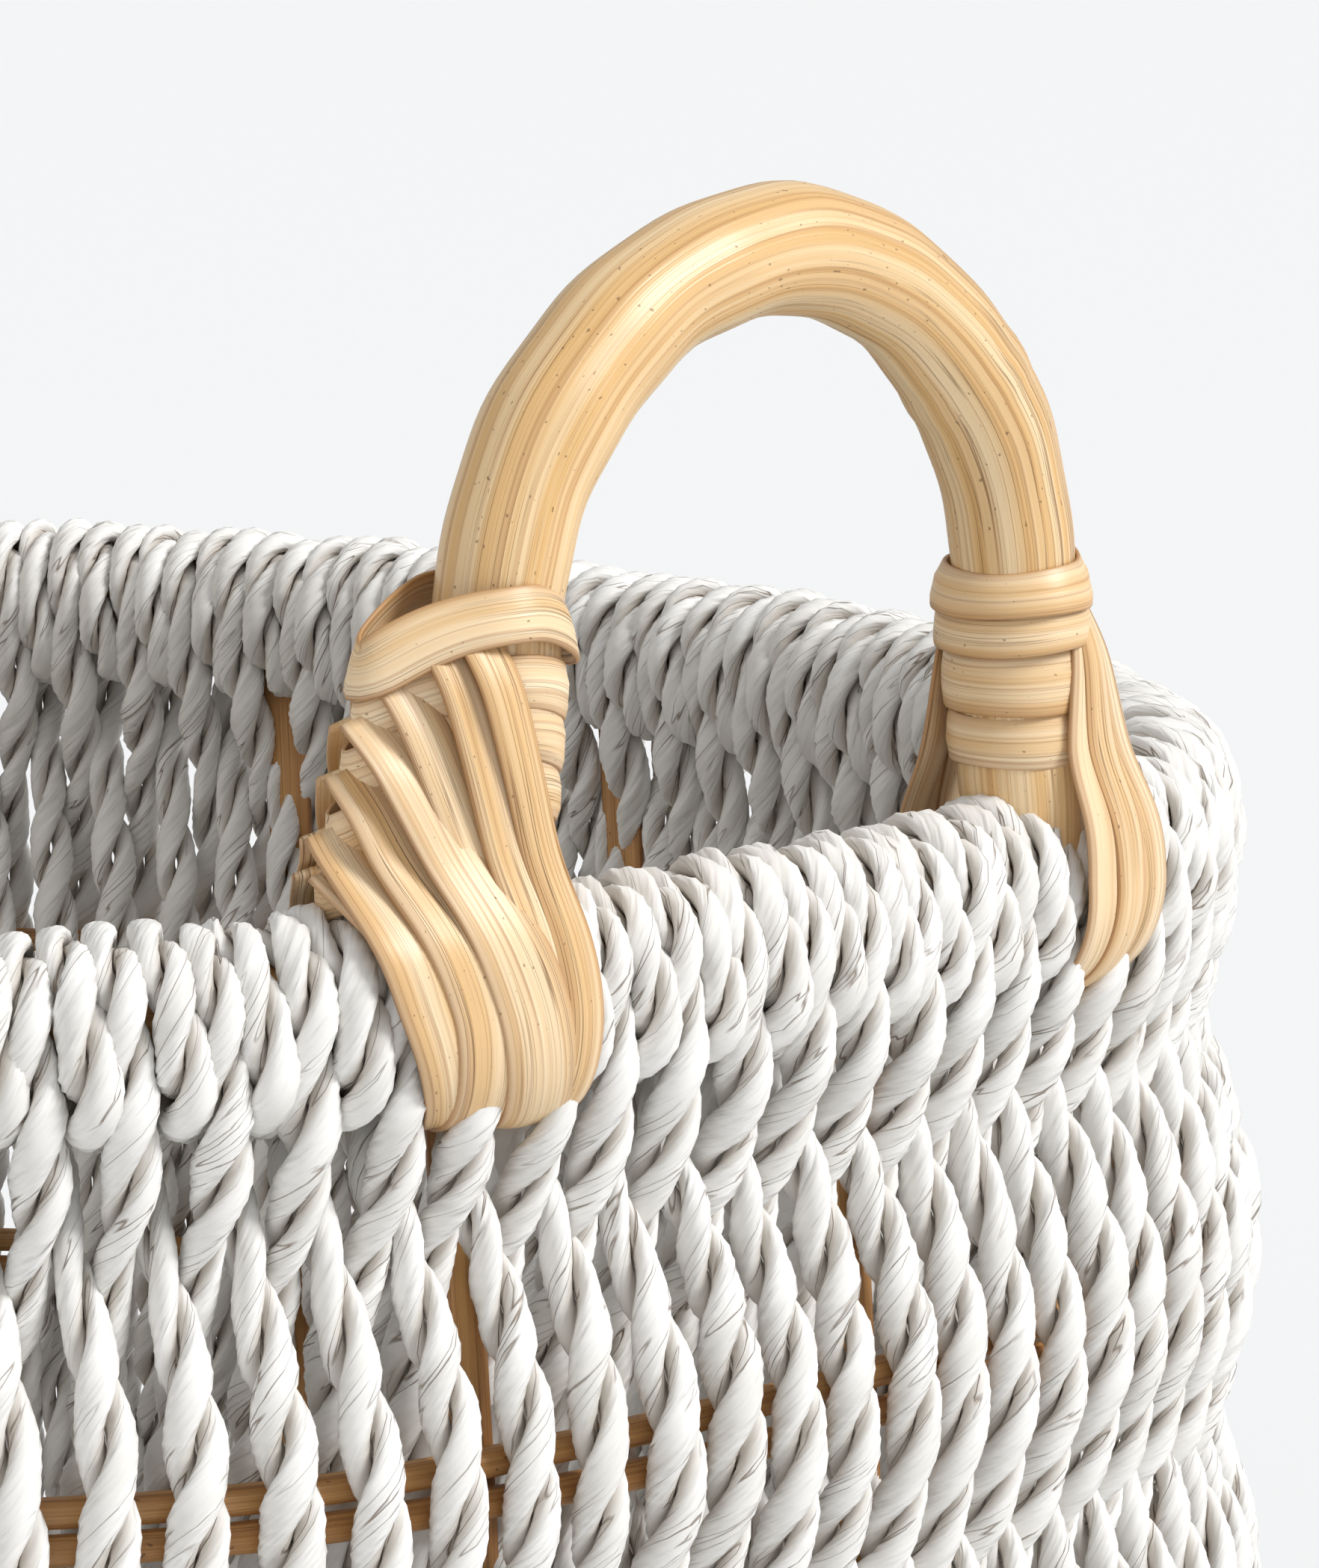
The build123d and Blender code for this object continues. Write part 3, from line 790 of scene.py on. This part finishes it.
# %% Strips over the rim
RIM_REACH = 16.6  # from the hoop's centre to the strips on the rim
UNDER_REACH = 21.0  # and below it
TUCK = 1.6  # how far the end of a strip dips under the ring that holds it
TUCK_LENGTH = 7  # and over what height
FLAT_TO = 5.0  # a wide lashing is full thickness up to here, and then narrows to the ridge
RIM_TURN = (9, 18)  # strips leave the leg's rings at this height, and reach the rim this much lower
PINCH_LENGTH = 24  # a narrow lashing's strips widen over this length from each end
RUN_POINTS = 26


def lash_face(t, height, ridged, side):
    """How far out the strips lie above the rim: on the leg's rings, and narrowing to the ridge."""
    face = BAND_R + STRIP
    if ridged:
        past = np.clip((t - FLAT_TO) / (ridge_at(height) - 1.0 - FLAT_TO), 0, 1)
        face = face - (face - RIDGE_ROUND - 0.3) * past**1.5
    low = np.clip((RIM_TURN[0] - height) / RIM_TURN[1], 0, 1)
    low = low * low * (3 - 2 * low)
    return side * (face + (RIM_REACH - face) * low)


def rim_strip(rng, spec, width, lift, ridged):
    """One strip, from its outer end down the rim, under it and up to its inner end.
    spec is (t, height) of the outer end, t at the rim, below and inside, and of the inner end."""
    outer_end, outer_rim, under, inner_rim, inner_end = spec
    centre = rim_z - rim_top
    rise = np.linspace(outer_end[1], centre, RUN_POINTS)
    share = (outer_end[1] - rise) / (outer_end[1] - centre)
    t = outer_end[0] + (outer_rim - outer_end[0]) * share
    free = np.clip((outer_end[1] - rise) / TUCK_LENGTH, 0, 1)
    down = np.stack([t, rise, lash_face(t, rise, ridged, 1) + lift * free - TUCK * (1 - free)], axis=1)
    turn = np.radians(np.linspace(0, -180, 41)[1:-1])
    t = np.interp(-turn, [0, math.pi / 2, math.pi], [outer_rim, under, inner_rim])
    reach = RIM_REACH + lift
    below = np.stack([t, centre + (UNDER_REACH + lift) * np.sin(turn), reach * np.cos(turn)], axis=1)
    rise = np.linspace(centre, inner_end[1], RUN_POINTS)
    share = (rise - centre) / (inner_end[1] - centre)
    t = inner_rim + (inner_end[0] - inner_rim) * share
    free = np.clip((inner_end[1] - rise) / TUCK_LENGTH, 0, 1)
    up = np.stack([t, rise, lash_face(t, rise, ridged, -1) - lift * free + TUCK * (1 - free)], axis=1)
    path, along, length = spaced(np.concatenate([down, below, up]), CANE_STEP, False)
    path = eased(path, 6, False)
    pinch = np.interp(np.minimum(along, length - along), [0, PINCH_LENGTH], [1 if ridged else 0.5, 1])
    front = heading(path, False)
    face = np.cross(np.broadcast_to([1.0, 0, 0], front.shape), front)
    path[:, 1] += rim_top
    return strip_rings(rng, path, -face, width, STRIP, crown=0.4, ripple=0.12, pinch=pinch)


# %% Lash the four legs
# A ring is ((heights at its near side, face and far side), width, lift off the leg, tilt).
# A strip is ((outer end, at the rim, below it, at the rim inside, inner end), width, lift).
WIDE_RINGS = [
    ((5.0, 8.8, 1.5), 8.4, 0.0, 0),
    ((13.6, 18, 9.5), 8.6, 0.1, 0),
    ((21.8, 26.5, 20), 8.6, 0.2, 0),
    ((29.8, 34.6, 28.5), 8.6, 0.3, 0),
    ((38.6, 45.5, 36.4), 9.2, 2.3, 0.35),
]
WIDE_STRIPS = [
    (((33.0, 5.5), 21, 12, 20, (33.0, 5)), 8.5, 0.0),
    (((31.0, 12.4), 22.8, 11.0, 21, (31.0, 12)), 12.0, 0.5),
    (((28.0, 21.4), 14.6, 9.5, 14, (28.0, 21)), 12.0, 1.3),
    (((21.6, 36.5), 5.4, -1.5, 5, (21.6, 36.5)), 9.0, 0.8),
    (((16.0, 42), 3.0, -1.4, 2.0, (15.8, 42)), 7.4, 1.4),
    (((10.4, 42), -2.6, -4.2, -3.4, (10.2, 42)), 7.4, 1.8),
    (((25.2, 29.6), 7.0, -1.8, 6.5, (25.2, 29)), 12.0, 2.2),
]
NARROW_RINGS = [
    ((9.0, 9.2, 9.4), 9.0, 0.0, 0),
    ((19.0, 19.4, 21.0), 10.8, 0.4, 0),
    ((27.8, 28.8, 31.2), 8.0, 1.5, 0.15),
    ((34.2, 35.4, 38.4), 8.2, 1.5, 0.3),
]
NARROW_STRIPS = [
    (((4.4, 31), 5.2, 7.0, -4.8, (2.4, 31)), 8.8, 0.0),
    (((5.8, 31), 20.8, 19.5, 11.0, (5.0, 31)), 8.8, 0.4),
    (((5.2, 31), 13.0, 13.0, 3.2, (3.8, 31)), 8.8, 0.8),
]


def lash_leg(name, along, sign, wide):
    """All the cane on one leg. sign is +1 where outwards from the arch is along the outline."""
    rings, strips = [], []
    for heights, width, lift, tilt in WIDE_RINGS if wide else NARROW_RINGS:
        rings.append(leg_ring(rng, heights, width, lift, tilt, wide))
    for spec, width, lift in WIDE_STRIPS if wide else NARROW_STRIPS:
        strips.append(rim_strip(rng, spec, width, lift, wide))
    for kind, grids, nodes in (
        ("rings", rings, [f"bindings_{name}"]),
        ("strips", strips, [f"outer_strips_{name}", f"inner_strips_{name}"]),
    ):
        placed = []
        for points, marks in grids:
            points = points.copy()
            points[..., 0] = along + sign * points[..., 0]
            placed.append((bend(points), marks))
        if kind == "strips" and wide:
            nodes = nodes + [f"braid_{name}"]
        closed = kind == "rings"
        make_mesh(f"lashing_{kind}_{name}", placed, closed, flat_cane, nodes, sign < 0)


rng = np.random.default_rng(44)
leg_along = SIDE_RADIUS * math.asin(half_span / SIDE_RADIUS)
lash_leg("right_front", -leg_along, -1, True)
lash_leg("right_back", leg_along, 1, False)
lash_leg("left_back", OUTLINE / 2 - leg_along, -1, True)
lash_leg("left_front", OUTLINE / 2 + leg_along, 1, False)

# %% [markdown]
# ## Studio
# A pale floor, soft light from the front and right, and a long lens a little above the rim, which
# keeps the walls upright and shows the weave at its true size.

# %% Floor, lights and camera
ROOM_LIGHT = 0.48
LENS = 183.4
CAMERA_AT = (1.0977, -0.9504, 0.5480)
CAMERA_DOWN, CAMERA_ROUND = 10.06, 43.75  # degrees below level, and round from looking along +Y
floor_finish = Finish("studio_floor")
floor_material = floor_finish.done((0.85, 0.855, 0.86, 1), 0.9, 0.1)
bpy.ops.mesh.primitive_plane_add(size=40, location=(0, 0, 0))
floor = bpy.context.object
floor.name = "studio_floor"
floor.data.materials.append(floor_material)

world = bpy.data.worlds.new("soft_room")
bpy.context.scene.world = world
world.use_nodes = True
world.node_tree.nodes["Background"].inputs["Color"].default_value = (0.99, 0.995, 1.0, 1)
world.node_tree.nodes["Background"].inputs["Strength"].default_value = ROOM_LIGHT


def soft_light(name, towards, strength, spread):
    """A broad light at a great distance. towards is the direction that it comes from."""
    light = bpy.data.lights.new(name, "SUN")
    light.angle = math.radians(spread)
    light.energy = strength
    lamp = bpy.data.objects.new(name, light)
    bpy.context.scene.collection.objects.link(lamp)
    lamp.rotation_euler = Vector(towards).to_track_quat("Z", "Y").to_euler()


soft_light("key", (0.79, 0.41, 0.75), 2.7, 25)
soft_light("fill", (0.2, -0.9, 0.5), 0.35, 60)

camera_data = bpy.data.cameras.new("camera")
camera_data.lens = LENS
camera_data.sensor_width = 36
camera = bpy.data.objects.new("camera", camera_data)
bpy.context.scene.collection.objects.link(camera)
camera.location = CAMERA_AT
camera.rotation_euler = (math.radians(90 - CAMERA_DOWN), 0, math.radians(CAMERA_ROUND))
bpy.context.scene.camera = camera
bpy.context.scene.view_settings.view_transform = "Standard"
